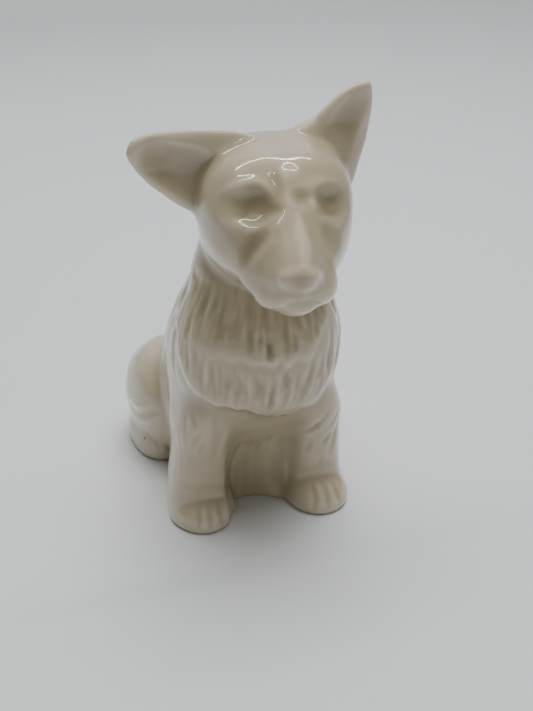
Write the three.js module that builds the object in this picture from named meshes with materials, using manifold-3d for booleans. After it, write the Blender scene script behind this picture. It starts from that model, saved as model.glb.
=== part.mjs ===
// A small seated dog in glazed earthenware, about 115 mm to the tip of its raised ear.
// It is put together the way a pottery makes one: two hollow slip castings, the body and the head,
// and solid pressed ears, forelegs, haunches, hind feet and tail, luted on with slip before the one
// firing. Millimetres, +Z up. The dog looks along -Y, and its right side is at -X.
import * as THREE from "three";
import { mergeVertices } from "three/addons/utils/BufferGeometryUtils.js";
import Module from "manifold-3d";

const wasm = await Module();
wasm.setup();

// ---- Driving dimensions ----
const wall = 3.2; // thickness that the slip builds up in the mould
const lute = 0.3; // line of slip between two pieces
const ventRadius = 6; // hole between the head and the neck

const bodyWidth = 46; // across the chest, where it is widest
const bodyLength = 54; // web between the forelegs to the rump, on the ground
const webY = 6; // front of the body at the forelegs, on the ground
const webScoop = 3.4; // how far the web is scooped out between the forelegs
const webRadius = 9.5; // of that scoop
const webTop = 31; // the scoop ends here, under the chest
const neckInto = 4.5; // the neck's top stays this far below the middle of the skull
const bibDrop = 35; // lowest point of the chest ruff, above the ground
const bibProud = 2; // how far the ruff stands off the chest

const headWidth = 36; // across the cheeks
const headZ = 88.5; // middle of the skull
const crownRise = 16; // top of the skull above that
const headLength = 47; // back of the skull to the nose
const headX = 2.2; // the head sits a little to the dog's left
const headTurn = -8; // degrees, towards the dog's right
const headBack = 18.5; // back of the skull, behind the middle of the head
const eyeGap = 17; // between the middles of the eyes
const noseWidth = 9.6;

const pawWidth = 18;
const pawGap = 14.4; // between the two forepaws
const pawHeight = 9.5;
const pawFront = -4.8;
const legHeight = 40;
const toeWidth = 3.4;
const toeGroove = 0.55; // radius of the line between two toes

const haunchProud = 5.6; // how far a haunch stands out from the side of the chest
const haunchTop = 35;
const haunchBack = 16; // middle of a haunch, ahead of the rump
const footWidth = 16;
const footHeight = 12.5;
const footLength = 29;
const footReach = 26; // toes of a hind foot, ahead of the rump

const earThick = 4.4;
const earScoop = 2; // depth of the scoop in the ear
const rightEar = { length: 21, width: 20, inset: 6.5, back: 4, below: 10.5, turns: [4, -66, -10] };
const leftEar = { length: 19.5, width: 18, inset: 3, back: 5, below: 7.5, turns: [4, 27, 14] };

const tailThick = 10;

const ivory = 0xc9c0ad; // colour of the glaze
const gloss = 0.12; // its roughness

// ---- Clay: lofts, and solids for the cuts ----
function track(rings, pick) {
  return new THREE.CatmullRomCurve3(rings.map((ring) => new THREE.Vector3(...pick(ring))));
}

// A closed body through rings. A ring has a centre and two radii. It lies flat, or has a tilt about
// X and then a heading about Z, in degrees. Power 2 is an ellipse and more is squarer; egg widens
// the side at local -Y.
function loft(rings, { around = 24, along = 16, grow = 0 } = {}) {
  const centres = track(rings, (ring) => ring.at);
  const sizes = track(rings, (ring) => [...ring.r, ring.power ?? 2]);
  const turns = track(rings, (ring) => [ring.tilt ?? 0, ring.heading ?? 0, ring.egg ?? 0]);
  const geometry = new THREE.CylinderGeometry(1, 1, 1, around, along).rotateX(Math.PI / 2);
  const spot = geometry.getAttribute("position");
  const point = new THREE.Vector3();
  for (let i = 0; i < spot.count; i++) {
    point.fromBufferAttribute(spot, i);
    const t = THREE.MathUtils.clamp(point.z + 0.5, 0, 1);
    const size = sizes.getPoint(t);
    const turn = turns.getPoint(t);
    const square = (c) => Math.sign(c) * Math.abs(c) ** (2 / size.z);
    const across = square(point.x) * (1 - turn.z * point.y);
    point.set(across * Math.max(size.x + grow, 0.2), square(point.y) * Math.max(size.y + grow, 0.2), 0);
    point.applyEuler(new THREE.Euler(
      THREE.MathUtils.degToRad(turn.x), 0, THREE.MathUtils.degToRad(turn.y), "ZYX"));
    point.add(centres.getPoint(t));
    spot.setXYZ(i, point.x, point.y, point.z);
  }
  return solid(geometry);
}

function solid(geometry) {
  const bare = geometry.clone().deleteAttribute("normal").deleteAttribute("uv");
  const merged = mergeVertices(bare, 1e-4);
  return new wasm.Manifold(new wasm.Mesh({
    numProp: 3,
    vertProperties: merged.getAttribute("position").array,
    triVerts: new Uint32Array(merged.index.array),
  }));
}

function ball([x, y, z], [a, b, c], detail = 20) {
  return solid(new THREE.SphereGeometry(1, detail, detail / 2).scale(a, b, c).translate(x, y, z));
}

function post(radius, low, high, [x, y]) {
  const geometry = new THREE.CylinderGeometry(radius, radius, high - low, 24).rotateX(Math.PI / 2);
  return solid(geometry.translate(x, y, (low + high) / 2));
}

function placed(clay, position, turns) {
  const angles = turns.map(THREE.MathUtils.degToRad);
  const matrix = new THREE.Matrix4().makeRotationFromEuler(new THREE.Euler(...angles, "ZYX"));
  return clay.transform(matrix.setPosition(...position).elements);
}

// the table, which every piece that would press into it is cut flat by
const table = solid(new THREE.BoxGeometry(400, 400, 100).translate(0, 0, -50));

function piece(name, clay) {
  const made = clay.getMesh();
  const geometry = new THREE.BufferGeometry();
  geometry.setAttribute("position", new THREE.BufferAttribute(new Float32Array(made.vertProperties), 3));
  geometry.setIndex(new THREE.BufferAttribute(new Uint32Array(made.triVerts), 1));
  const glaze = new THREE.MeshStandardMaterial({ color: ivory, roughness: gloss, metalness: 0 });
  const mesh = new THREE.Mesh(geometry, glaze);
  mesh.name = name;
  return mesh;
}

// ---- Body: chest, back, belly and neck, a hollow casting open at the base ----
const halfBody = bodyWidth / 2;
const rumpY = webY + bodyLength;
const neckZ = headZ - neckInto;

// front and back are where a ring crosses the middle plane
function slice(z, front, back, half, shape = {}) {
  return { at: [0, (front + back) / 2, z], r: [half, (back - front) / 2], ...shape };
}

function bodyForm({ grow = 0, base = 0 } = {}) {
  const square = { power: 2.8, egg: 0.04 };
  const deep = { power: 2.3, egg: 0.16 };
  const round = { power: 2.1, egg: 0.2 };
  const rise = neckZ / 8.4;
  return loft([
    slice(base, webY, rumpY - 1, halfBody - 5, square),
    slice(1 * rise, webY, rumpY + 0.5, halfBody - 4, square),
    slice(2 * rise, webY - 1, rumpY, halfBody - 3.2, square),
    slice(3 * rise, webY - 6, rumpY - 3.5, halfBody - 2.2, deep),
    slice(4 * rise, webY - 13, rumpY - 10, halfBody - 1.2, deep),
    slice(5 * rise, webY - 15.5, rumpY - 18, halfBody - 1, round),
    slice(6 * rise, webY - 15, rumpY - 26, halfBody - 3, round),
    slice(7 * rise, webY - 11, rumpY - 35, halfBody - 6.8, round),
    slice(neckZ, webY - 6, rumpY - 44, halfBody - 9.5, round),
  ], { around: 32, along: 20, grow });
}

// The ruff on the chest hangs as an apron: its edge is low in front and rises to the sides.
function bibForm(grow = 0) {
  const proud = bibProud + grow;
  const ring = (rise, front, back, half) =>
    slice(bibDrop + rise, webY - front - proud, webY + back, half + proud * 0.5, { tilt: 27, egg: 0.1 });
  return loft([
    ring(9 - grow * 1.2, 13.5, 20, halfBody - 2.6),
    ring(15, 15, 18, halfBody - 1.8),
    ring(25, 15, 12, halfBody - 3.6),
    ring(38, 9.5, 8, halfBody - 9),
  ], { around: 32, along: 8 });
}

function chest(grow = 0) {
  return bodyForm({ grow }).add(bibForm(grow));
}

// ---- Head: skull, cheeks and muzzle, a hollow casting with a vent into the neck ----
function headForm(grow = 0) {
  const half = headWidth / 2;
  const depth = crownRise;
  const back = headBack;
  const ring = (y, drop, width, height, power = 2) =>
    ({ at: [0, y, -drop], r: [width, height], tilt: 90, power });
  const clay = loft([
    ring(back + grow, 1, 4, 4),
    ring(back - 1.5, 0.5, half - 7, depth - 5.5, 2.2),
    ring(back - 8, 0, half - 1.2, depth - 0.4, 2.5),
    ring(1, 0.8, half, depth + 0.8, 2.6),
    ring(-7, 2.2, half - 1.4, depth - 0.6, 2.3),
    ring(back - headLength + 14, 4.6, half - 5, depth - 3.8),
    ring(back - headLength + 7, 6.6, half - 8.2, depth - 6.8),
    ring(back - headLength + 1.8, 7.4, half - 10.8, depth - 8.6),
    ring(back - headLength - grow, 7.2, half - 14.5, depth - 12.5),
  ], { around: 24, along: 18, grow });
  return onHead(clay);
}

// Two eye sockets are pressed into the face, an eye stands in each, and the nose pad stands on the
// muzzle. Each is made in the head's frame and turned with it.
function onHead(clay) {
  return placed(clay, [headX, 0, headZ], [0, 0, headTurn]);
}

function sockets(grow = 0) {
  const size = [4.4 + grow, 3.4 + grow, 3 + grow];
  const socket = (side) => ball([side * eyeGap / 2, -13.8, 5.4], size, 14);
  return onHead(socket(1).add(socket(-1)));
}

function features() {
  const nose = ball([0, headBack - headLength + 1.6, -4.2], [noseWidth / 2, 2.8, 2.9], 14);
  const eye = (side) => ball([side * eyeGap / 2, -10.4, 4.4], [2.4, 1.7, 1.5], 12);
  return onHead(eye(1).add(eye(-1)).add(nose));
}

// ---- Ears: solid pressings with a scooped face ----
// An ear is made upright, its root at the origin and its tip along +Z, with the scoop facing -Y.
function earForm(side, { length, width, inset, back, below, turns }) {
  const half = width / 2;
  const ring = (share, size) => ({
    at: [0, Math.sin(share * Math.PI) * 0.8, share * length],
    r: [size, earThick / 2],
  });
  const outside = loft([
    ring(-0.3, half),
    ring(0, half),
    ring(0.35, half - 0.3),
    ring(0.65, half - 2.2),
    ring(0.86, half - 5),
    ring(0.96, half - 7.6),
    ring(1, half - 8.8),
  ], { around: 20, along: 12 });
  const scoop = ball([0, -earThick / 2 - 1, length * 0.34], [half - 2, earScoop + 1.2, length * 0.44], 16);
  const root = [headX + side * (headWidth / 2 - inset), back, headZ + crownRise - below];
  return placed(outside.subtract(scoop), root, turns);
}

// Three grooves part the toes of a paw whose front is at y, below the top of the paw.
function toeGrooves([x, y, z], height) {
  const groove = (across) => {
    const line = new THREE.CylinderGeometry(toeGroove, toeGroove, height, 6);
    line.rotateX(THREE.MathUtils.degToRad(28));
    return solid(line.translate(x + across * toeWidth, y + Math.abs(across) * 0.8, z));
  };
  return groove(-1).add(groove(0)).add(groove(1));
}

// ---- Forelegs: solid, from the paw up to the shoulder ----
function forelegForm(side) {
  const x = (pawGap + pawWidth) / 2;
  const half = pawWidth / 2;
  const ring = (z, out, front, back, width) => ({
    at: [side * (x + out), (front + back) / 2, z],
    r: [width, (back - front) / 2],
    power: 2.4,
  });
  const leg = loft([
    ring(0, 0.2, pawFront + 7, webY + 13, half - 0.2),
    ring(pawHeight, 0, pawFront + 6.5, webY + 13, half - 0.8),
    ring(legHeight * 0.55, -0.8, pawFront + 5, webY + 14, half - 1.2),
    ring(legHeight * 0.775, -1.6, pawFront + 2.5, webY + 15, half - 0.8),
    ring(legHeight, -3.4, pawFront + 2, webY + 15, half - 2.6),
  ], { around: 20, along: 10 });
  const paw = ball([side * x, pawFront + 10.6, 2.2], [half, 10.6, pawHeight - 2.2]);
  return leg.add(paw).subtract(table).subtract(toeGrooves([side * x, pawFront + 0.3, 3], 7));
}

// ---- Haunches and hind feet: solid, on the flanks ----
const haunchOut = halfBody + haunchProud;

function haunchForm(side, grow = 0) {
  const reach = 15;
  const ring = (z, share, power = 2.2) => ({
    at: [side * (haunchOut - reach), rumpY - haunchBack + (haunchTop - z) * 0.12, z],
    r: [reach * share, 19.5 * share],
    power,
  });
  return loft([
    ring(haunchTop - 31 - grow, 0.5),
    ring(haunchTop - 29.5, 0.74),
    ring(haunchTop - 24, 0.93),
    ring(haunchTop - 16, 1),
    ring(haunchTop - 7, 0.88),
    ring(haunchTop - 1.5, 0.56),
    ring(haunchTop + grow, 0.2),
  ], { around: 24, along: 14, grow });
}

function footForm(side, grow = 0) {
  const half = footWidth / 2;
  return ball(
    [side * (haunchOut - half - 0.3), rumpY - footReach + footLength / 2, 3.5],
    [half + grow, footLength / 2 + grow, footHeight - 3.5 + grow],
  ).subtract(table);
}

// ---- Tail: solid, laid round the rump to the dog's left ----
function tailForm() {
  const half = tailThick / 2;
  const ring = (x, back, size, heading) =>
    ({ at: [x, rumpY - back, half * 0.82], r: [size, size], tilt: 90, heading });
  return loft([
    ring(-13, -1.2, 0.8, 98),
    ring(-10, -1.5, half - 1.5, 96),
    ring(0, -3.5, half, 90),
    ring(haunchOut - 16.6, -2.5, half + 0.4, 72),
    ring(haunchOut - 6.6, 3, half + 0.2, 48),
    ring(haunchOut + 0.4, 11, half - 0.8, 28),
    ring(haunchOut + 3.4, 20, 1.4, 10),
  ], { around: 14, along: 14 }).subtract(table);
}

// ---- Assembly ----
const scoopAt = [0, webY + webScoop - webRadius];
const web = post(webRadius, -1, webTop, scoopAt);
const behind = post(webRadius + wall, -5, webTop + wall, scoopAt);
const hollow = bodyForm({ grow: -wall, base: -4 }).subtract(behind);
const body = chest().subtract(web).subtract(hollow).subtract(headForm(lute));

const vent = post(ventRadius, neckZ - 24, neckZ + 4, [headX, webY + 3]);
const headHollow = headForm(-wall).subtract(sockets(wall));
const head = headForm().subtract(sockets()).add(features()).subtract(headHollow).subtract(vent);

const dog = new THREE.Group();
dog.add(piece("body_casting", body), piece("head_casting", head));
dog.add(piece("right_ear", earForm(-1, rightEar).subtract(headForm(lute))));
dog.add(piece("left_ear", earForm(1, leftEar).subtract(headForm(lute))));

const sides = { right: -1, left: 1 };
for (const [name, side] of Object.entries(sides)) {
  const rest = chest(lute);
  dog.add(piece(`${name}_foreleg`, forelegForm(side).subtract(rest)));
  dog.add(piece(`${name}_hind_foot`, footForm(side).subtract(rest)));
  dog.add(piece(`${name}_haunch`, haunchForm(side).subtract(rest).subtract(footForm(side, lute))));
}

let rear = chest(lute);
for (const side of Object.values(sides)) rear = rear.add(haunchForm(side, lute)).add(footForm(side, lute));
dog.add(piece("tail", tailForm().subtract(rear)));

// The origin is on the table, under the middle of the whole figure.
const centre = new THREE.Box3().setFromObject(dog).getCenter(new THREE.Vector3());
dog.position.set(-centre.x, -centre.y, 0);
const figure = new THREE.Group();
figure.add(dog);

export default figure;
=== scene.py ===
# A small seated dog in ivory-glazed earthenware, seen on a plain pale table.
# Shapes are worked in millimetres, in the dog's own frame: it looks along -Y, its right side is at
# -X, and the table is Z = 0. They are turned to metres, in the shared frame, at the end.
import math
import random

import bmesh
import bpy
import numpy as np
from mathutils import Matrix, Vector
from mathutils.bvhtree import BVHTree
from mathutils.kdtree import KDTree


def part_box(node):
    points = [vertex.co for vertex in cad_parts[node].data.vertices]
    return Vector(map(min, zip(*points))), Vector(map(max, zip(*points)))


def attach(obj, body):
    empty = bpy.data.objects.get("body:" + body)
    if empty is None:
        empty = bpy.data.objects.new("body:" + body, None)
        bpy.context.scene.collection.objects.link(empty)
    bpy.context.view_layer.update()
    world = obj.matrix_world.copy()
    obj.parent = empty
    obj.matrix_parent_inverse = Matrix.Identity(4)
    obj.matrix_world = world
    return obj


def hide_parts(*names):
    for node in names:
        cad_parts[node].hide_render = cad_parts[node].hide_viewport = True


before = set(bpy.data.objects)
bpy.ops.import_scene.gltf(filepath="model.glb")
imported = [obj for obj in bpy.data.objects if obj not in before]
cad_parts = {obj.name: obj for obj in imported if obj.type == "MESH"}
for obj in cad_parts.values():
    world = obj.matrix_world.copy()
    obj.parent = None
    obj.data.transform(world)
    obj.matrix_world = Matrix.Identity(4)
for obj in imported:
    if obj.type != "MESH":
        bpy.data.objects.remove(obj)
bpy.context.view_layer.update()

# ---- Body ----
# The chest, back and rump are one hollow slip casting, leaning forward over the forelegs and
# standing on an open foot. The clay is worked up from flat rings, each a little squarer low down.
paw_low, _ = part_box("right_foreleg")
body_low, body_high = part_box("body_casting")
middle = Vector(((body_low[0] + body_high[0]) * 500, paw_low[1] * 1000 + 4.8, 0))
chest_half = 23.0
web_y = 6.0
rump_y = 60.0
neck_z = 84.0


def ring(at, size, power=2.0, tilt=0.0, heading=0.0, egg=0.0):
    """One ring of clay: its middle, its two half widths, and how square, tilted and turned it is."""
    return [*at, *size, power, tilt, heading, egg]


def between(rings, steps):
    """The rings with smooth ones worked in between them."""
    rows = np.array(rings, dtype=float)
    ends = np.vstack([2 * rows[0] - rows[1], rows, 2 * rows[-1] - rows[-2]])
    for s in np.linspace(0, len(rows) - 1, steps):
        i = min(int(s), len(rows) - 2)
        f = s - i
        a, b, c, d = ends[i:i + 4]
        bend = 2 * a - 5 * b + 4 * c - d
        twist = 3 * b - a - 3 * c + d
        yield 0.5 * (2 * b + (c - a) * f + bend * f ** 2 + twist * f ** 3)


def work_up(rings, around=48, steps=26, grow=0.0):
    """A closed lump of clay through the rings."""
    lump = bmesh.new()
    last = None
    for k, (x, y, z, wide, deep, power, tilt, heading, egg) in enumerate(between(rings, steps)):
        capped = k in (0, steps - 1)
        loop = bmesh.ops.create_circle(lump, cap_ends=capped, segments=around, radius=1.0)["verts"]
        for v in loop:
            across = math.copysign(abs(v.co.x) ** (2 / power), v.co.x) * (1 - egg * v.co.y)
            along = math.copysign(abs(v.co.y) ** (2 / power), v.co.y)
            v.co = (across * max(wide + grow, 0.2), along * max(deep + grow, 0.2), 0)
        turn = Matrix.Rotation(math.radians(heading), 3, "Z") @ Matrix.Rotation(math.radians(tilt), 3, "X")
        bmesh.ops.rotate(lump, verts=loop, cent=(0, 0, 0), matrix=turn)
        bmesh.ops.translate(lump, verts=loop, vec=(x, y, z))
        edges = list({e for v in loop for e in v.link_edges})
        if last:
            bmesh.ops.bridge_loops(lump, edges=last + edges)
        last = edges
    bmesh.ops.recalc_face_normals(lump, faces=lump.faces)
    return lump


def roll(at, size, turn=Matrix.Identity(4)):
    """A ball or a bean of clay."""
    lump = bmesh.new()
    place = Matrix.Translation(at) @ turn @ Matrix.Diagonal((*size, 1.0))
    bmesh.ops.create_uvsphere(lump, u_segments=40, v_segments=24, radius=1.0, matrix=place)
    return lump


def lute(onto, lump, place=Matrix.Identity(4)):
    """Add a lump to the clay that is already there."""
    bmesh.ops.transform(lump, matrix=place, verts=lump.verts)
    piece = bpy.data.meshes.new("lump")
    lump.to_mesh(piece)
    onto.from_mesh(piece)
    bpy.data.meshes.remove(piece)
    lump.free()


def level(z, front, back, half, power=2.0, egg=0.0):
    return ring((0, (front + back) / 2, z), (half, (back - front) / 2), power, egg=egg)


def body_rings(base):
    return [
        level(base, web_y, rump_y - 1, chest_half - 5, 2.8, 0.04),
        level(10, web_y, rump_y + 0.5, chest_half - 4, 2.8, 0.04),
        level(20, web_y - 1, rump_y, chest_half - 3.2, 2.8, 0.04),
        level(30, web_y - 6, rump_y - 3.5, chest_half - 2.2, 2.3, 0.16),
        level(40, web_y - 13, rump_y - 10, chest_half - 1.2, 2.3, 0.16),
        level(50, web_y - 15.5, rump_y - 18, chest_half - 1, 2.1, 0.2),
        level(60, web_y - 15, rump_y - 26, chest_half - 3, 2.1, 0.2),
        level(70, web_y - 11, rump_y - 35, chest_half - 6.8, 2.1, 0.2),
        level(neck_z, web_y - 6, rump_y - 44, chest_half - 9.5, 2.1, 0.2),
    ]


clay = bmesh.new()
lute(clay, work_up(body_rings(-4)))

# ---- Head ----
# A second hollow casting, turned a little to the dog's right and set on the neck. The long muzzle
# has soft full flews over a small chin, and a flat oval nose pad.
head_half = 18.0
head_x = 2.2
head_z = 88.5
head_at = Matrix.Translation((head_x, 0, head_z)) @ Matrix.Rotation(math.radians(-8), 4, "Z")


def head_ring(y, drop, wide, high, power=2.0, egg=0.0, lean=0.0):
    return ring((0, y, -drop), (wide, high), power, tilt=90 + lean, egg=egg)


head_rings = [
    head_ring(18.5, 1, 4, 4),
    head_ring(17, 0.5, head_half - 7, 10.5, 2.2),
    head_ring(10.5, 0.4, head_half - 1.2, 15.0, 2.5),
    head_ring(1, 1.3, head_half, 16.4, 2.7),
    head_ring(-7, 2.2, head_half - 1.4, 15.4, 2.3),
    head_ring(-14.5, 4.8, head_half - 5.4, 12.0, 2.0, 0.1),
    head_ring(-20.6, 7.6, head_half - 9.2, 9.0, 2.0, 0.24, lean=8),
    head_ring(-25.0, 9.4, head_half - 11.6, 6.5, 2.0, 0.2, lean=22),
    head_ring(-27.0, 9.0, head_half - 14.5, 3.6, lean=24),
]
lute(clay, work_up(head_rings, around=56, steps=30), head_at)
lute(clay, roll((-4.0, -19.8, -12.0), (4.8, 6.6, 4.2)), head_at)
lute(clay, roll((-6.6, -14.4, -10.4), (4.4, 7.4, 4.0)), head_at)
lute(clay, roll((5.4, -18.4, -11.0), (5.0, 7.6, 5.4)), head_at)
lute(clay, roll((0.6, -19.4, -14.4), (6.0, 5.2, 3.8)), head_at)
lute(clay, roll((0, -26.6, -6.9), (4.8, 2.9, 3.5), Matrix.Rotation(math.radians(24), 4, "X")), head_at)

# ---- Ears ----
# Two pressings like thick leaves, hollowed on one face. The right ear is held straight out and the
# left one stands up, which gives the dog its look.
ears = {
    "right": {"length": 22.0, "half": 10.2, "root": (-9.3, 4, 94.4), "turns": (4, -67, -10), "flare": -2.5},
    "left": {"length": 19.4, "half": 8.8, "root": (16.6, 5, 97.0), "turns": (4, 28, 6), "flare": 1.5},
}
ear_thick = 2.3
lute(clay, roll((9.0, 5, 102.7), (6.6, 2.6, 2.3), Matrix.Rotation(math.radians(-32), 4, "Y")))
for ear in ears.values():
    tip, lean, heading = (math.radians(a) for a in ear["turns"])
    turn = Matrix.Rotation(heading, 4, "Z") @ Matrix.Rotation(lean, 4, "Y") @ Matrix.Rotation(tip, 4, "X")
    ear["place"] = Matrix.Translation(ear["root"]) @ turn
    leaf = [
        ring((-ear["flare"] * wide, math.sin(share * math.pi) * 0.8, share * ear["length"]),
             (ear["half"] - narrow, ear_thick - thin))
        for share, narrow, thin, wide in (
            (-0.4, -1.0, -1.5, 0.4), (-0.1, -1.0, -0.8, 0.5), (0.12, -0.4, -0.2, 0.4), (0.38, 1.0, 0, 0.1),
            (0.62, 2.9, 0.1, 0), (0.83, 5.0, 0.3, 0), (0.96, 7.0, 0.7, 0), (1.03, 8.6, 1.7, 0))
    ]
    lute(clay, work_up(leaf, around=40, steps=24), ear["place"])

# ---- Forelegs and paws ----
# Two solid pressings, straight down from the shoulders, with broad round paws.
paw_x = 16.2
paw_half = 9.0


def leg_ring(side, z, out, front, back, half):
    return ring((side * (paw_x + out), (front + back) / 2, z), (half, (back - front) / 2), 2.4)


for side in (-1, 1):
    rings = [
        leg_ring(side, -4, 0.2, 2.2, web_y + 13, paw_half - 0.2),
        leg_ring(side, 9.5, 0, 1.7, web_y + 13, paw_half - 0.8),
        leg_ring(side, 22, -0.8, 0.2, web_y + 14, paw_half - 1.2),
        leg_ring(side, 31, -1.6, -2.3, web_y + 15, paw_half - 0.8),
        leg_ring(side, 40, -3.4, -2.8, web_y + 15, paw_half - 2.6),
    ]
    lute(clay, work_up(rings, around=40))
    lute(clay, roll((side * paw_x, 6.3 - side * 0.5, 2.2), (paw_half, 10.2 + side * 0.4, 7.4)))

# ---- Haunches, hind feet and tail ----
# Solid pressings on the flanks and round the rump. The tail lies on the table and comes forward
# past the left haunch.
haunch_out = 28.6
haunch_top = 35.0
for side in (-1, 1):
    rings = [
        ring((side * (haunch_out - 15), 44 + (haunch_top - z) * 0.12, z), (15 * share, 19.5 * share), 2.2)
        for z, share in ((4, 0.5), (5.5, 0.74), (11, 0.93), (18.5, 1.0), (26.5, 0.88), (32, 0.56), (33.6, 0.2))
    ]
    lute(clay, work_up(rings, around=44))
    lute(clay, roll((side * (haunch_out - 8.3), 48.5, 3.5), (8.0, 14.5, 9.0)))
tail_path = ((-13, 61.2, 0.8, 98), (-10, 61.5, 3.5, 96), (0, 63.5, 5.0, 90), (12, 62.5, 5.4, 72),
             (22, 57, 5.2, 48), (29, 49, 4.2, 28), (32, 40, 1.4, 10))
tail = [ring((x, y, 4.1), (size, size), tilt=90, heading=heading) for x, y, size, heading in tail_path]
lute(clay, work_up(tail, around=36, steps=36))

# ---- One skin ----
# The luted pieces are sponged over while the clay is soft, so every join between them is filled to
# a round and the pot is one skin before it is decorated.
grain = 0.46


def one_skin(lumps, name, size):
    shape = bpy.data.meshes.new(name)
    lumps.to_mesh(shape)
    lumps.free()
    pot = bpy.data.objects.new(name, shape)
    bpy.context.scene.collection.objects.link(pot)
    skin = pot.modifiers.new("one skin", "REMESH")
    skin.mode = "VOXEL"
    skin.voxel_size = size
    made = bpy.data.meshes.new_from_object(pot.evaluated_get(bpy.context.evaluated_depsgraph_get()))
    pot.modifiers.clear()
    pot.data = made
    pot.data.name = name
    bpy.data.meshes.remove(shape)
    return pot


dog = one_skin(clay, "dog_skin", grain)
spots = np.empty(len(dog.data.vertices) * 3)
dog.data.vertices.foreach_get("co", spots)
spots = spots.reshape(-1, 3)
corners = np.empty(len(dog.data.polygons) * 4, dtype=np.int64)
dog.data.polygons.foreach_get("vertices", corners)
corners = corners.reshape(-1, 4)
links = np.empty(len(dog.data.edges) * 2, dtype=np.int64)
dog.data.edges.foreach_get("vertices", links)
links = links.reshape(-1, 2)
ways = np.bincount(links.ravel(), minlength=len(spots))[:, None]


def gather(index, values):
    return np.stack([np.bincount(index, values[:, k], len(spots)) for k in range(3)], axis=1)


def outward():
    """The direction out of the clay at every spot."""
    a, b, c, d = (spots[corners[:, k]] for k in range(4))
    faces = np.cross(c - a, d - b)
    total = sum(gather(corners[:, k], faces) for k in range(4))
    return total / np.maximum(np.linalg.norm(total, axis=1, keepdims=True), 1e-9)


def level_off(values):
    """How far each spot is from the middle of its neighbours."""
    a, b = links[:, 0], links[:, 1]
    return (gather(a, values[b]) + gather(b, values[a])) / ways - values


def sponge(rounds, fill, rub):
    """Wet sponging: hollows fill up by fill, and everything is rubbed down by rub."""
    global spots, out
    for k in range(rounds):
        if k % 4 == 0:
            out = outward()
        off = level_off(spots)
        hollow = np.maximum((off * out).sum(axis=1, keepdims=True), 0)
        spots = spots + out * hollow * fill + off * rub


x, y, z = spots.T
jaw = np.clip((np.hypot((x - 1) / 17, (y + 6) / 22) - 1) / 0.1, 0, 1)
jaw = jaw + np.clip((np.abs(z - 70) - 12) / 4, 0, 1)
sponge(12, 0.5, 0.1)
roots = sum(np.exp(-((x - a) ** 2 + (y - b) ** 2 + (z - c) ** 2) / 42)
            for a, b, c in ((10, 5, 105), (-13, 3, 101)))
soft = np.clip(jaw + 2.0 * roots, 0, 1)[:, None]
soft *= 1 - 0.8 * np.exp(-((x - 1.5) ** 2 + (y + 30) ** 2 + (z - 83) ** 2) / 60)[:, None]
sponge(70, 0.85 * soft, 0.02)
out = outward()


# ---- Tools for the soft clay ----
# A rounded modelling tool, run along a line or dabbed on, and the same to build a ridge up.
def find():
    tree = KDTree(len(spots))
    for k, spot in enumerate(spots):
        tree.insert(spot, k)
    tree.balance()
    return tree


nearest = find()


def run(points, width, depth, taper=0.6):
    """Run a tool of half this width along a line on the skin; a depth under zero builds a ridge."""
    hits = [nearest.find(p)[1] for p in points]
    path = spots[hits]
    facing = out[hits].mean(axis=0)
    low, high = path.min(axis=0) - width, path.max(axis=0) + width
    close = np.nonzero(np.all((spots > low) & (spots < high), axis=1))[0]
    close = close[out[close] @ facing > 0.05]
    here = spots[close]
    best = np.full(len(close), 1e9)
    share = np.zeros(len(close))
    for k, (a, b) in enumerate(zip(path, path[1:])):
        along = b - a
        t = np.clip((here - a) @ along / max(along @ along, 1e-9), 0, 1)
        gap = np.linalg.norm(here - a - t[:, None] * along, axis=1)
        nearer = gap < best
        best = np.where(nearer, gap, best)
        share = np.where(nearer, (k + t) / (len(path) - 1), share)
    full = np.maximum(np.sin(np.pi * np.clip(share, 0.02, 0.98)), 0) ** taper
    push = np.clip(1 - (best / (width * (0.4 + 0.6 * full))) ** 2, 0, 1) ** 2 * depth * full
    spots[close] -= out[close] * push[:, None]


def dab(at, size, depth):
    """Press a rounded tool in at one place; a depth under zero raises the clay."""
    global spots
    hit = nearest.find(at)[1]
    reach = (spots - np.array(at)) / np.array(size)
    fall = np.clip(1 - (reach ** 2).sum(axis=1), 0, 1) ** 2
    fall *= out @ out[hit] > 0
    spots = spots - out * (fall * depth)[:, None]


# ---- Ear hollows ----
# Each ear is pressed hollow on the face that looks forward, deepest towards the head, and leaves a
# thick rolled rim.
for name, ear in ears.items():
    local = (spots - np.array(ear["root"])) @ np.array(ear["place"].to_3x3())
    u, v, w = local[:, 0] / ear["half"], local[:, 2] / ear["length"], local[:, 1]
    lean, wide, deep = (-0.12, 0.72, 2.8) if name == "right" else (-0.15, 0.6, 1.8)
    body = np.clip(1 - ((u - lean * (1 - v)) / (wide - 0.5 * wide * np.clip(v, 0, 1))) ** 2, 0, 1)
    length = np.clip((v - (-0.1 if name == "right" else 0.15)) / 0.3, 0, 1) * np.clip((0.95 - v) / 0.35, 0, 1)
    front = ((out @ np.array(ear["place"].to_3x3())[:, 1]) < -0.2) & (np.abs(w) < 5) & (v > -0.12)
    spots = spots + np.array(ear["place"].to_3x3())[:, 1] * (deep * body ** 0.8 * length * front)[:, None]
sponge(10, 0.3, 0.12)

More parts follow.
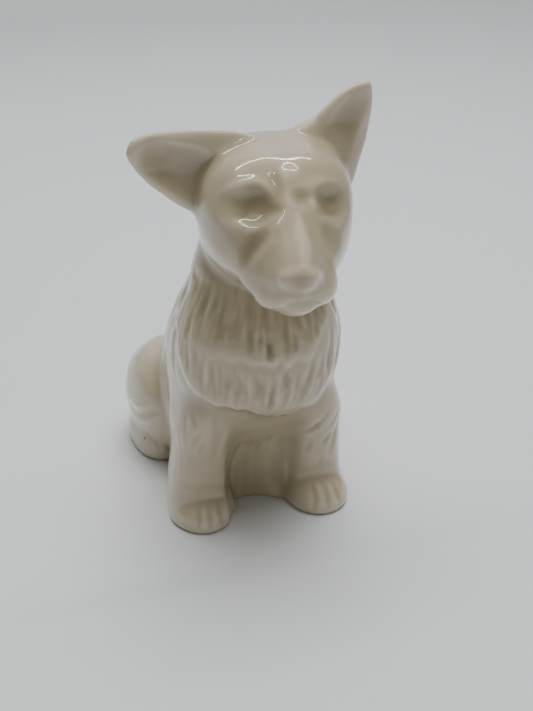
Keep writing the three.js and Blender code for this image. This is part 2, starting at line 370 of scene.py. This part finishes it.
# ---- Face ----
# Modelled on the clay original with a small rounded tool: brows, deep-set narrow eyes, the stop
# between them, and the mouth under the flews. A separate measuring program gave many of these
# points, and the others were set by hand.
out = outward()
nearest = find()
dab((-6.2, -12.4, 93.2), (7.4, 7.6, 5.4), 2.1)
dab((-10.8, -9.5, 92.4), (5.6, 6.0, 4.4), 0.7)
dab((10.4, -12.8, 92.4), (6.8, 7.0, 5.2), 1.8)
dab((2.9, -14.6, 94.7), (2.8, 3.6, 2.8), 0.9)
run([(-4.2, -13.8, 93.0), (-2.8, -15.4, 93.0), (-1.4, -16.5, 93.2)], 1.8, 0.4)
run([(-4.9, -17.9, 90.3), (-6.9, -17.1, 87.6), (-8.9, -16.6, 85.2), (-10.4, -16.5, 83.0), (-11.1, -15.7, 81.7)],
    3.6, 1.0)
run([(6.9, -20.1, 90.5), (8.4, -19.9, 88.3), (9.8, -19.7, 85.8), (10.8, -18.9, 83.0)], 4.5, 0.6)
run([(-12.4, -6.5, 95.6), (-9.3, -8.3, 96.8), (-6.3, -9.9, 97.9), (-3.7, -12.2, 96.7), (-2.6, -13.9, 94.9)],
    2.8, -0.6)
run([(1.8, -13.5, 96.5), (5.8, -13.0, 97.2), (10.3, -11.7, 96.6), (14.4, -10.0, 94.8)], 2.8, -0.5)
dab((1.8, -10.8, 98.8), (4.4, 3.8, 3.6), -0.55)
run([(-0.7, -9.2, 99.8), (-1.7, -10.8, 98.3), (-1.8, -12.7, 96.7), (-1.5, -14.5, 95.0)], 2.0, 0.5)
run([(1.2, -18.0, 92.6), (0.7, -21.4, 89.9), (0.4, -24.5, 87.6), (-0.5, -28.4, 85.6)], 2.6, -0.7, taper=0.4)
sponge(4, 0.3, 0.15)
out = outward()
nearest = find()
dab((-7.4, -12.6, 91.8), (2.2, 2.4, 1.4), -0.4)
dab((10.8, -13.4, 91.4), (2.6, 2.8, 1.5), -0.3)
dab((5.4, -15.4, 93.4), (1.6, 2.0, 2.4), -0.3)
sponge(2, 0.2, 0.1)
out = outward()
nearest = find()
run([(-13.6, -7.2, 90.3), (-10.0, -10.6, 90.8), (-7.3, -13.4, 91.0), (-4.4, -15.9, 91.6)], 0.85, 0.34)
run([(-10.2, -10.9, 91.8), (-8.2, -12.3, 92.9), (-6.2, -13.8, 92.8), (-4.6, -15.2, 91.9)], 0.8, 0.26)
run([(5.2, -17.5, 91.5), (8.0, -15.5, 90.9), (10.8, -13.8, 90.5), (14.3, -11.6, 90.1)], 0.85, 0.32)
run([(-0.4, -16.6, 93.6), (1.0, -17.4, 93.2), (2.4, -17.4, 93.4)], 0.6, 0.14)
run([(-1.2, -13.4, 96.2), (0.6, -14.6, 95.6), (2.0, -14.2, 96.0)], 0.6, 0.14)
run([(-4.0, -18.6, 90.6), (-4.4, -20.9, 88.5)], 1.3, 0.2)
turns = [math.radians(a) for a in range(188, 353, 12)]
run([(-1.6 + 5.2 * math.cos(a), -26.4, 81.6 + 4.3 * math.sin(a)) for a in turns], 1.2, 0.32, taper=0.3)
run([(-1.5, -27.5, 78.0), (-1.6, -27.0, 76.8), (-1.6, -26.6, 75.4)], 0.9, 0.3, taper=0.3)
run([(-1.6, -26.4, 75.2), (-3.6, -25.7, 74.2), (-6.2, -23.6, 73.4), (-8.4, -20.4, 73.0)], 1.2, 0.3, taper=0.4)
run([(-1.6, -26.4, 75.2), (0.8, -26.1, 74.8), (3.4, -25.0, 74.3), (5.6, -23.0, 74.0)], 1.1, 0.28, taper=0.4)

# ---- Chest ruff ----
# Two tiers of long hair lie over each other down the chest, each ending in a rolled lip. The lips
# dip lowest in front and climb to the shoulders. The points of both lips began as output of a
# separate measuring program and were then moved by hand.
x, y, z = spots.T
chest_y = 8.0
bearing = np.degrees(np.arctan2(x, chest_y - y))
chest_arc = 0.31
lower_lip = ((-120, 70), (-100, 62), (-84, 57), (-78, 52.5), (-73, 48), (-69, 44.4), (-62, 42.4),
             (-57, 41.7), (-46, 40.4), (-36, 39.4), (-24, 37.8), (-12, 35.6), (0, 34.2), (12, 33.6),
             (26, 33.8), (38, 34.6), (46, 36), (50.5, 39), (52.5, 43), (54.5, 49), (58, 56), (66, 62),
             (80, 68), (100, 72))
upper_lip = ((-95, 74), (-80, 68), (-70, 63.5), (-62, 58), (-52, 54.8), (-38, 53.9), (-28, 53.4),
             (-15, 52.8), (-5, 51.9), (8, 51.5), (20, 52.1), (27, 53.2), (33, 55.7), (39, 58.5), (44, 61),
             (52, 65), (64, 70), (80, 74))


def tier(lip, proud, run_up, first, last, easy):
    """How far a tier of hair stands out: it is proud along its lip and runs up to nothing above it."""
    path = np.array(lip) * (chest_arc, 1)
    here = np.stack([bearing * chest_arc, z], axis=1)
    gap = np.full(len(here), 1e9)
    over = np.zeros(len(here))
    for a, b in zip(path, path[1:]):
        along = b - a
        t = np.clip((here - a) @ along / (along @ along), 0, 1)
        off = here - a - t[:, None] * along
        far = np.hypot(off[:, 0], off[:, 1])
        nearer = far < gap
        gap = np.where(nearer, far, gap)
        over = np.where(nearer, along[0] * (here - a)[:, 1] - along[1] * (here - a)[:, 0], over)
    within = np.copysign(gap, over)
    rise = np.clip((within + 0.8) / 2.2, 0, 1)
    rise = rise * rise * (3 - 2 * rise)
    fade = 1 - np.clip((within - 2) / run_up, 0, 1)
    reach = np.clip((bearing - first) / easy, 0, 1) * np.clip((last - bearing) / easy, 0, 1)
    return proud * rise * fade * reach * (y < 30) * np.clip((80 - z) / 6, 0, 1)


out = outward()
ragged = np.random.default_rng(3).normal(size=73)
z = z + 0.55 * np.interp(bearing, np.arange(-180, 181, 5), ragged)
swell = tier(lower_lip, 1.5, 15, -105, 80, 40) + tier(upper_lip, 0.95, 10, -62, 58, 45)
spots = spots + out * (1, 1, 0.2) * swell[:, None]
sponge(5, 0.25, 0.15)

# ---- Hair ----
# Locks are drawn in the clay with a narrow tool, each stroke lens-shaped and none of them the same,
# long down the chest and shoulders, and faint on the forelegs, flanks and tail.
out = outward()
nearest = find()
wall = BVHTree.FromPolygons([Vector(p) for p in spots], [tuple(int(i) for i in f) for f in corners])
chance = random.Random(11)


def on_trunk(angle, height):
    """The spot on the trunk that faces this bearing at this height."""
    way = Vector((math.sin(math.radians(angle)), -math.cos(math.radians(angle)), 0))
    hit = wall.ray_cast(Vector((0, chest_y, height)) + way * 60, -way, 60)[0]
    return None if hit is None else tuple(hit)


def lock(angle, top, bottom, width, depth, sway, lean=0.0):
    points = []
    for k in range(7):
        share = k / 6
        turn = angle + lean * share + sway * math.sin(share * 2.6 + sway)
        points.append(on_trunk(turn, top + (bottom - top) * share))
    points = [p for p in points if p]
    if len(points) > 3:
        run(points, width, depth, taper=0.8)


def comb(first, last, spacing, top, bottom, length, width, depth, lean=0.0):
    """Draw one row of locks side by side, each between top and bottom at its bearing."""
    angle = first
    while angle < last:
        high, low = top(angle), bottom(angle)
        reach = length * chance.uniform(0.7, 1.15)
        start = chance.uniform(low + reach, max(high, low + reach + 0.1))
        lock(angle + chance.uniform(-0.3, 0.3) * spacing, min(start, high), max(min(start, high) - reach, low),
             width * chance.uniform(0.75, 1.3), depth * chance.uniform(0.6, 1.25),
             chance.uniform(-1.6, 1.6), lean * chance.uniform(0.5, 1.3))
        angle += spacing * chance.uniform(0.75, 1.3)


def lower_at(angle):
    return float(np.interp(angle, *zip(*lower_lip)))


def upper_at(angle):
    return float(np.interp(angle, *zip(*upper_lip)))


comb(-84, 76, 4.4, lambda a: 74, lambda a: upper_at(a) + 1.0, 14, 0.85, 0.42)
comb(-80, 72, 9.0, lambda a: 73, lambda a: upper_at(a) + 2.0, 11, 1.5, 0.34)
comb(-92, 52, 4.2, lambda a: upper_at(a), lambda a: lower_at(a) + 1.0, 13, 0.85, 0.42)
comb(-88, 50, 9.0, lambda a: upper_at(a) - 1, lambda a: lower_at(a) + 2.6, 9, 1.5, 0.34)
comb(-175, -84, 5.0, lambda a: 77, lambda a: 36, 26, 0.95, 0.44, lean=-6)
comb(56, 185, 5.0, lambda a: 77, lambda a: 36, 26, 0.95, 0.44, lean=4)
# A separate measuring program gave the places of these locks and of most of the leg strokes.
named_locks = (
    (-69, 64.7, 57, 1.5, 0.5), (-46, 66, 58, 2.4, 0.55), (-37, 65, 59, 1.6, 0.35),
    (-22, 62.5, 56.5, 1.3, 0.5), (-8, 61, 54, 1.4, 0.75), (-14, 61.6, 57, 1.0, 0.35),
    (12, 61, 55.5, 1.1, 0.5), (5, 62.4, 57, 0.8, 0.3), (21, 61.6, 56.8, 0.8, 0.3),
    (30, 62, 57.3, 0.8, 0.3), (-66, 54.7, 48.8, 1.2, 0.4), (-59, 55.7, 46.7, 1.2, 0.4),
    (-38, 51.2, 45.2, 1.5, 0.5), (-50, 54, 45.7, 1.2, 0.35), (-30, 51.3, 43.5, 1.1, 0.35),
    (-17, 50.8, 41.7, 1.5, 0.7), (-6, 46, 37.5, 1.3, 0.6), (6, 50.7, 43.8, 1.4, 0.6),
    (16, 50.7, 40.7, 1.0, 0.3), (26, 51.8, 41.1, 0.9, 0.3), (36, 52.2, 41.5, 1.0, 0.35),
    (43, 54.2, 45.2, 0.9, 0.35), (59, 62, 42, 1.0, 0.45), (65, 58, 38, 1.0, 0.4), (71, 62, 38, 1.2, 0.4)
)
for turn, top, bottom, width, depth in named_locks:
    lock(turn, top, bottom, width, 1.3 * depth, 0.4)
leg_strokes = (
    ([(-17.7, -1.7, 31.8), (-19.6, 0.4, 26.2)], 1.3, 0.3),
    ([(-17.0, -1.2, 28.6), (-18.2, 0.0, 24.0)], 1.0, 0.22),
    ([(-20.0, 3.2, 37.3), (-20.8, 1.8, 33), (-21.1, 1.4, 28.3)], 1.2, 0.25),
    ([(-18.9, 0.6, 36.9), (-19.0, -0.9, 32.6)], 1.2, 0.25),
    ([(-14.5, -2, 37), (-14.2, -1.5, 31), (-15.0, -0.5, 25)], 1.5, 0.2),
    ([(-12.5, -1.5, 33), (-13.5, -0.5, 27), (-14.5, 0.2, 21)], 1.2, 0.2),
    ([(16.7, 1.1, 16.2), (14.8, 1.9, 12.3)], 1.2, 0.22),
    ([(18.7, 0.4, 24.2), (15.7, 0.6, 19.7)], 1.3, 0.3),
    ([(16.8, -2.4, 32.7), (13.2, -0.9, 26.4), (9.9, 1.5, 24.0)], 1.5, 0.4),
    ([(19.6, 0.2, 31), (17.0, -0.6, 26.0)], 1.2, 0.3),
    ([(19.8, 1.5, 27.5), (19.2, 1.4, 20.7), (18.2, 2.0, 14.8)], 1.2, 0.35),
    ([(12.8, 0.4, 22.8), (11.8, 1.8, 16.8)], 1.2, 0.25),
    ([(14.6, -1.2, 29.0), (12.0, 0.3, 24.6)], 1.0, 0.25),
    ([(-4.5, 5.0, 23.4), (-2.2, 6.9, 18.6)], 0.9, 0.3),
    ([(0.7, 6.6, 21.4), (-0.7, 7.3, 16.9)], 0.9, 0.3),
    ([(-2.2, 5.7, 23.2), (-1.2, 6.9, 19.1)], 0.8, 0.25),
    ([(3.0, 4.0, 24.0), (1.6, 6.2, 20.0)], 0.9, 0.25),
)
for points, width, depth in leg_strokes:
    run(points, width, 1.3 * depth)
for side in (-1, 1):
    for k in range(7):
        back = 2.6 + 2.7 * k
        run([(side * 23, back + 0.6, 37 - k * 0.6), (side * 24.5, back, 26),
             (side * 24.5, back + 0.4, 13 + k * 0.5)], 0.95, 0.24)
    for k in range(5):
        up = 30 - k * 3.6
        run([(side * 27, 33 + k * 2, up), (side * 29, 42 + k, up - 4), (side * 28, 52, up - 6)], 2.4, 0.14)
for k in range(6):
    turn = k * 1.3 - 3
    run([(x0, y0 + 5, 4.1 + turn) for x0, y0, _, _ in tail_path[1:]], 0.9, 0.22, taper=0.4)

# ---- Toes, ankles and haunch folds ----
# Three short grooves part the toes of each forepaw, a soft crease marks the ankle, and a fold runs
# between each haunch and its hind foot.
for side in (-1, 1):
    for k in (-1, 0, 1):
        toe = side * paw_x + k * 3.5
        run([(toe - k * 0.3, -1.4 + abs(k) * 0.7, 8.8), (toe, -4.2 + abs(k) * 0.8, 5.6),
             (toe + k * 0.4, -4.8 + abs(k) * 0.9, 1.8)], 1.3, 0.42, taper=0.4)
        foot = side * (haunch_out - 9.3) + k * 2.9
        run([(foot, 35.2 + abs(k), 7.6), (foot, 34.2 + abs(k), 5), (foot, 34 + abs(k), 2)], 1.1, 0.3, taper=0.4)
    run([(side * 22.4, 4.2, 12.4), (side * 20, 2.6, 12.8), (side * 17, 2.0, 12.6), (side * 13, 2.2, 11.6),
         (side * 10, 3.2, 10)], 2.4, 0.22)
    run([(side * 28, 50, 14.2), (side * 28, 44, 15), (side * 26.4, 36, 17), (side * 23, 30.5, 20)],
        2.4, 0.9, taper=0.3)
    run([(side * 27.5, 48, 11.2), (side * 26.8, 40, 13.2), (side * 24.2, 33, 15.8)], 1.8, -0.4)
    run([(side * 27.5, 42, 9.6), (side * 25.4, 37, 8.2), (side * 22.5, 34.8, 6.4)], 2.0, 0.4)
sponge(1, 0.2, 0.1)

# ---- Web between the forelegs ----
# Under the chest the casting runs down between the legs as a thin apron, scooped back to an arch
# where it meets the table, with a soft crease where it joins each leg.
out = outward()
nearest = find()
x, y, z = spots.T
low = np.clip((30 - z) / 24, 0, 1)
low = low * low * (3 - 2 * low)
scoop = np.interp(x, [-11, -9, -6, -3, 0, 2.4, 4.8, 7.4], [0, 2.3, 3.7, 4.2, 3.8, 2.7, 1.0, 0])
spots[:, 1] += scoop * low * np.clip(-1.6 * out[:, 1], 0, 1) * (y < 14) * (y > -1)
sponge(8, 0.35, 0.15)
out = outward()
nearest = find()
run([(-5.8, 6.5, 22.2), (-6.9, 7.5, 17.5), (-7.8, 8.5, 13.1), (-8.6, 9.0, 8.0), (-8.8, 9.4, 3.0)],
    1.6, 0.35, taper=0.3)
run([(5.8, 6.5, 20.2), (5.2, 7.5, 13.8), (4.8, 7.4, 8.8), (5.3, 7.1, 3.3)], 3.2, 0.45, taper=0.3)

# ---- Glaze coat ----
# A clear-over-ivory glaze a third of a millimetre thick. It flows off the high places and pools in
# the low ones, which softens every stroke and darkens the hollows.
sponge(2, 0.25, 0.12)
out = outward()
wave = np.random.default_rng(5)
uneven = sum(np.sin(spots @ way * (0.35 + 0.05 * k) + 6.3 * wave.random())
             for k, way in enumerate(wave.normal(size=(12, 3)) * 0.6))
spots = spots + out * (0.034 * uneven)[:, None]
settled = spots
# This darkness map holds glaze lying deep in the hollows, and the painted shade of the sockets, cheek and nose
# pad is added further on.
glaze_and_shade_map = np.zeros(len(spots))
for k in range(60):
    off = level_off(settled)
    settled = settled + off * 0.9
    if k in (2, 11, 59):
        glaze_and_shade_map += ((settled - spots) * out).sum(axis=1) * {2: 2.3, 11: 1.1, 59: 0.3}[k]
x, y, z = spots.T
# Extra darkening goes into the eye sockets, the near cheek and under the nose pad, which is painted shade where
# these places lie in shadow, and a little over the chest hair.
painted_shade_and_pools = (((-6.2, -13.2, 93.0), 5.0, 0.34), ((9.6, -14.0, 92.4), 5.0, 0.3), ((-8.6, -16.8, 85.6), 5.0, 0.2),
         ((-1.7, -29.2, 81.4), 2.8, 0.42), ((0, 4, 42), 22.0, 0.12))
for (a, b, c), reach, extra in painted_shade_and_pools:
    glaze_and_shade_map += 2 * extra * np.exp(-((x - a) ** 2 + (y - b) ** 2 + (z - c) ** 2) / reach ** 2)
glaze_and_shade_map = np.clip(0.5 + glaze_and_shade_map * 0.5, 0, 1)

# ---- Foot ----
# The foot was wiped clean of glaze and stands flat on the table, with the glaze rolled in to a
# round edge above it. Bubbles shut in where two lumps met are taken out.
x, y, z = spots.T
rim = 1.3
bubble_spots = 2000
drop = np.clip((rim - z) / rim, 0, 1.3)
inward = np.clip(1 - np.sqrt(np.maximum(1 - drop ** 2, 0)), 0, 1) * 0.8
flat = out * np.array([1, 1, 0])
spots = spots - flat * inward[:, None]
dog.data.vertices.foreach_set("co", spots.ravel())
# The darkness map, glaze lying deep and painted shade together, is stored on the skin for the glaze.
glaze_and_shade_layer = dog.data.attributes.new("pooling_and_painted_shade", "FLOAT", "POINT")
glaze_and_shade_layer.data.foreach_set("value", glaze_and_shade_map)
dog.data.update()
potter = bmesh.new()
potter.from_mesh(dog.data)
everything = potter.verts[:] + potter.edges[:] + potter.faces[:]
bmesh.ops.bisect_plane(potter, geom=everything, dist=1e-4, plane_co=(0, 0, 0), plane_no=(0, 0, 1),
                       clear_inner=True)
loose = set(potter.verts)
while loose:
    shell = {loose.pop()}
    edge = list(shell)
    while edge:
        near = {e.other_vert(v) for v in edge for e in v.link_edges} & loose
        loose -= near
        shell |= near
        edge = list(near)
    if len(shell) < bubble_spots:
        bmesh.ops.delete(potter, geom=list(shell), context="VERTS")
rim_edges = [e for e in potter.edges if e.is_boundary]
bmesh.ops.holes_fill(potter, edges=rim_edges, sides=0)
potter.to_mesh(dog.data)
potter.free()

# ---- Poured hollow ----
# The slip that was left over was poured out through the foot, which leaves the body and head
# hollow, with a vent between them and an even wall behind every hollow of the modelling.
least_wall = 3.2
vent_radius = 6.0
hollow_grain = 1.1
shave = 0.3
most_triangles = 190000
inside = bmesh.new()
lute(inside, work_up(body_rings(-6), around=32, steps=20, grow=-3.4))
lute(inside, work_up(head_rings, around=32, steps=20, grow=-3.6), head_at)
post = bmesh.new()
bmesh.ops.create_cone(post, cap_ends=True, segments=24, radius1=vent_radius, radius2=vent_radius, depth=24,
                      matrix=Matrix.Translation((head_x, 9, 72)))
lute(inside, post)
cast = one_skin(inside, "cast", hollow_grain)
carve = bmesh.new()
carve.from_mesh(cast.data)
bpy.data.objects.remove(cast)
wall = BVHTree.FromPolygons([Vector(p) for p in spots], [tuple(int(i) for i in f) for f in corners])
bmesh.ops.smooth_vert(carve, verts=carve.verts[:], factor=0.5, use_axis_x=True, use_axis_y=True,
                      use_axis_z=True)
for v in carve.verts:
    height = min(v.co.z, 88.0)
    across = np.interp(height, [60, 84], [0, head_x])
    along = np.interp(height, [0, 20, 37, 56, 70, 88], [31, 29, 21, 13, 9, 4])
    spine = Vector((across, along, height))
    for _ in range(60):
        low_spot = Vector((v.co.x, v.co.y, max(v.co.z, 1.0)))
        skin_at, facing, _, gap = wall.find_nearest(low_spot)
        inside_skin = (low_spot - skin_at).dot(facing) < 0
        if (inside_skin and gap > least_wall) or (spine - v.co).length < 0.6:
            break
        v.co += (spine - v.co).normalized() * shave
hollow = one_skin(carve, "hollow", hollow_grain)
for shape in (dog.data, hollow.data):
    shape.materials.clear()
    shape.materials.append(None)
    shape.materials.append(None)
hollow.data.polygons.foreach_set("material_index", [1] * len(hollow.data.polygons))
pour = dog.modifiers.new("pour out", "BOOLEAN")
pour.operation = "DIFFERENCE"
pour.solver = "MANIFOLD"
pour.object = hollow
poured = bpy.data.meshes.new_from_object(dog.evaluated_get(bpy.context.evaluated_depsgraph_get()))
dog.modifiers.clear()
if len(poured.polygons) < len(dog.data.polygons):
    raise RuntimeError("the hollow was not cut cleanly out of the skin")
dog.data = poured
bpy.data.objects.remove(hollow)
dog.data.calc_loop_triangles()
thin = dog.modifiers.new("thin out", "DECIMATE")
thin.ratio = most_triangles / len(dog.data.loop_triangles)
thinned = bpy.data.meshes.new_from_object(dog.evaluated_get(bpy.context.evaluated_depsgraph_get()))
dog.modifiers.clear()
dog.data = thinned
dog.data.name = "dog_skin"
bpy.data.meshes.remove(poured)

dog.data.transform(Matrix.Translation(middle / 1000) @ Matrix.Scale(0.001, 4))
dog.data.shade_smooth()


# ---- Glazed earthenware ----
# Ivory lead glaze on a white body, dipped and fired: a wet-looking gloss over a soft, slightly translucent
# ground that is paler where the glaze is thin and olive-brown where it lies in pools. The eye sockets, the near
# cheek and the underside of the nose pad are darker again with painted shade.
def linear(hexed):
    parts = [int(hexed[k:k + 2], 16) / 255 for k in (1, 3, 5)]
    return (*[c / 12.92 if c <= 0.04045 else ((c + 0.055) / 1.055) ** 2.4 for c in parts], 1.0)


def node(tree, kind, links_in=(), **settings):
    """Add a node, set its sockets and settings, and link what feeds it."""
    made = tree.nodes.new(kind)
    for name, value in settings.items():
        if name in made.inputs:
            made.inputs[name].default_value = value
        else:
            setattr(made, name, value)
    for socket, source in dict(links_in).items():
        tree.links.new(source, made.inputs[socket])
    return made


def noise(tree, where, scale, detail, rough):
    made = node(tree, "ShaderNodeTexNoise", {"Vector": where}, Scale=scale, Detail=detail, Roughness=rough)
    return made.outputs["Fac"]


glazed = bpy.data.materials.new("ivory_glazed_earthenware")
glazed.use_nodes = True
tree = glazed.node_tree
tree.nodes.clear()
where = node(tree, "ShaderNodeTexCoord").outputs["Object"]
glaze_and_shade_level = node(tree, "ShaderNodeAttribute", attribute_name="pooling_and_painted_shade").outputs["Fac"]
cloud = noise(tree, where, 90.0, 3.0, 0.5)
wander = node(tree, "ShaderNodeMath", {0: cloud}, operation="MULTIPLY_ADD")
wander.inputs[1].default_value = 0.16
wander.inputs[2].default_value = -0.08
glaze_and_shade_depth = node(tree, "ShaderNodeMath", {0: glaze_and_shade_level, 1: wander.outputs[0]}, operation="ADD").outputs[0]
# The dark end of this ramp shows glaze lying deep and the painted shade in the sockets, on the near cheek and
# under the nose pad.
tone = node(tree, "ShaderNodeValToRGB", {"Fac": glaze_and_shade_depth})
tone.color_ramp.elements[0].position = 0.26
tone.color_ramp.elements[0].color = linear("#CDC1A8")
tone.color_ramp.elements[1].position = 0.86
tone.color_ramp.elements[1].color = linear("#928669")
middle_tone = tone.color_ramp.elements.new(0.5)
middle_tone.color = linear("#B6A98D")
ripple = noise(tree, where, 420.0, 2.0, 0.4)
peel = node(tree, "ShaderNodeBump", {"Height": ripple}, Strength=0.05, Distance=0.0004)
# One brown iron speck, burnt through the glaze on the right hind foot.
fleck = node(tree, "ShaderNodeVectorMath", {0: where}, operation="DISTANCE")
fleck.inputs[1].default_value = (-0.0276, 0.0195, 0.0066)
spot = node(tree, "ShaderNodeMath", {0: fleck.outputs["Value"]}, operation="LESS_THAN")
spot.inputs[1].default_value = 0.0005
ivory = node(tree, "ShaderNodeMix", {0: spot.outputs[0]}, data_type="RGBA")
tree.links.new(tone.outputs["Color"], ivory.inputs[6])
ivory.inputs[7].default_value = linear("#6F4C26")
surface = node(tree, "ShaderNodeBsdfPrincipled",
               {"Base Color": ivory.outputs[2], "Normal": peel.outputs["Normal"]}, Roughness=0.32, IOR=1.5)
surface.inputs["Coat Weight"].default_value = 1.0
surface.inputs["Coat Roughness"].default_value = 0.045
surface.inputs["Coat IOR"].default_value = 1.5
surface.inputs["Subsurface Weight"].default_value = 0.12
surface.inputs["Subsurface Scale"].default_value = 0.002
node(tree, "ShaderNodeOutputMaterial", {"Surface": surface.outputs["BSDF"]})
dog.data.materials[0] = glazed

# ---- Bare earthenware ----
# The wiped foot and the inside show the fired body: buff, dry and finely gritty, with no shine.
bare = bpy.data.materials.new("bare_buff_earthenware")
bare.use_nodes = True
tree = bare.node_tree
tree.nodes.clear()
where = node(tree, "ShaderNodeTexCoord").outputs["Object"]
grit = noise(tree, where, 1400.0, 4.0, 0.6)
stain = noise(tree, where, 70.0, 3.0, 0.5)
body_tone = node(tree, "ShaderNodeValToRGB", {"Fac": stain})
body_tone.color_ramp.elements[0].position = 0.35
body_tone.color_ramp.elements[0].color = linear("#C9B592")
body_tone.color_ramp.elements[1].position = 0.7
body_tone.color_ramp.elements[1].color = linear("#DDCFB2")
dry = node(tree, "ShaderNodeBump", {"Height": grit}, Strength=0.35, Distance=0.0002)
body = node(tree, "ShaderNodeBsdfPrincipled",
            {"Base Color": body_tone.outputs["Color"], "Normal": dry.outputs["Normal"]}, Roughness=0.85, IOR=1.5)
node(tree, "ShaderNodeOutputMaterial", {"Surface": body.outputs["BSDF"]})
dog.data.materials[1] = bare
for face in dog.data.polygons:
    if face.center.z < 0.00003 and face.normal.z < -0.9:
        face.material_index = 1
        face.use_smooth = False

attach(dog, "root")
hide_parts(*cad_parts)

# ---- Table, light and camera ----
# A pale paper sweep under a long overhead window light, with soft light from above and in front.
sweep = bmesh.new()
edge = [sweep.verts.new((x, -1.0, 0)) for x in (-1.6, 1.6)]
strip = [sweep.edges.new(edge)]


def pull(edges, way):
    grown = bmesh.ops.extrude_edge_only(sweep, edges=edges)["geom"]
    bmesh.ops.translate(sweep, verts=[g for g in grown if isinstance(g, bmesh.types.BMVert)], vec=way)
    return [g for g in grown if isinstance(g, bmesh.types.BMEdge)]


strip = pull(strip, (0, 1.42, 0))
bent = bmesh.ops.spin(sweep, geom=strip, cent=(0, 0.42, 0.06), axis=(1, 0, 0), angle=math.radians(90),
                      steps=24, use_duplicate=False)
strip = [g for g in bent["geom_last"] if isinstance(g, bmesh.types.BMEdge)]
pull(strip, (0, 0, 1.4))
bmesh.ops.recalc_face_normals(sweep, faces=sweep.faces)
paper = bpy.data.meshes.new("paper_sweep")
sweep.to_mesh(paper)
sweep.free()
paper.shade_smooth()
floor = bpy.data.objects.new("paper_sweep", paper)
bpy.context.scene.collection.objects.link(floor)
pale = bpy.data.materials.new("matt_white_paper")
pale.use_nodes = True
pale.node_tree.nodes["Principled BSDF"].inputs["Base Color"].default_value = linear("#E3E5E6")
pale.node_tree.nodes["Principled BSDF"].inputs["Roughness"].default_value = 0.7
paper.materials.append(pale)


def softbox(name, at, target, size, watts, colour, mirrored=True):
    lamp = bpy.data.lights.new(name, "AREA")
    lamp.shape = "RECTANGLE"
    lamp.size, lamp.size_y = size
    lamp.energy = watts
    lamp.color = linear(colour)[:3]
    rig = bpy.data.objects.new(name, lamp)
    rig.location = at
    rig.visible_glossy = mirrored
    rig.rotation_euler = (Vector(target) - Vector(at)).to_track_quat("-Z", "Y").to_euler()
    bpy.context.scene.collection.objects.link(rig)


softbox("overhead_window", (0.0, 0.16, 0.80), (0, 0, 0.05), (0.9, 0.02), 2.2, "#FFFDF8")
softbox("overhead_soft", (0.14, 0.02, 1.05), (0, 0, 0.05), (0.75, 0.6), 8.6, "#FBFCFF", mirrored=False)
softbox("ceiling_lamp", (-0.06, -0.30, 1.0), (0, 0, 0.02), (0.3, 0.014), 0.35, "#FFFDF8")
softbox("room_fill", (-0.05, -0.75, 0.28), (0, 0, 0.04), (0.9, 0.5), 0.8, "#FFFDF8", mirrored=False)

world = bpy.data.worlds.new("room")
world.use_nodes = True
world.node_tree.nodes["Background"].inputs["Color"].default_value = linear("#D9DEE2")
world.node_tree.nodes["Background"].inputs["Strength"].default_value = 0.11
bpy.context.scene.world = world

lens = bpy.data.cameras.new("view")
lens.sensor_width = 36
lens.lens = 46.9
lens.clip_start = 0.01
view = bpy.data.objects.new("view", lens)
aim = Vector((middle.x / 1000, middle.y / 1000, 0.05))
turned = math.radians(-18)
raised = math.radians(28)
away = 0.23
back = Vector((math.sin(turned) * math.cos(raised), -math.cos(turned) * math.cos(raised), math.sin(raised)))
view.location = aim + back * away
view.rotation_euler = (-back).to_track_quat("-Z", "Y").to_euler()
bpy.context.scene.collection.objects.link(view)
bpy.context.scene.camera = view
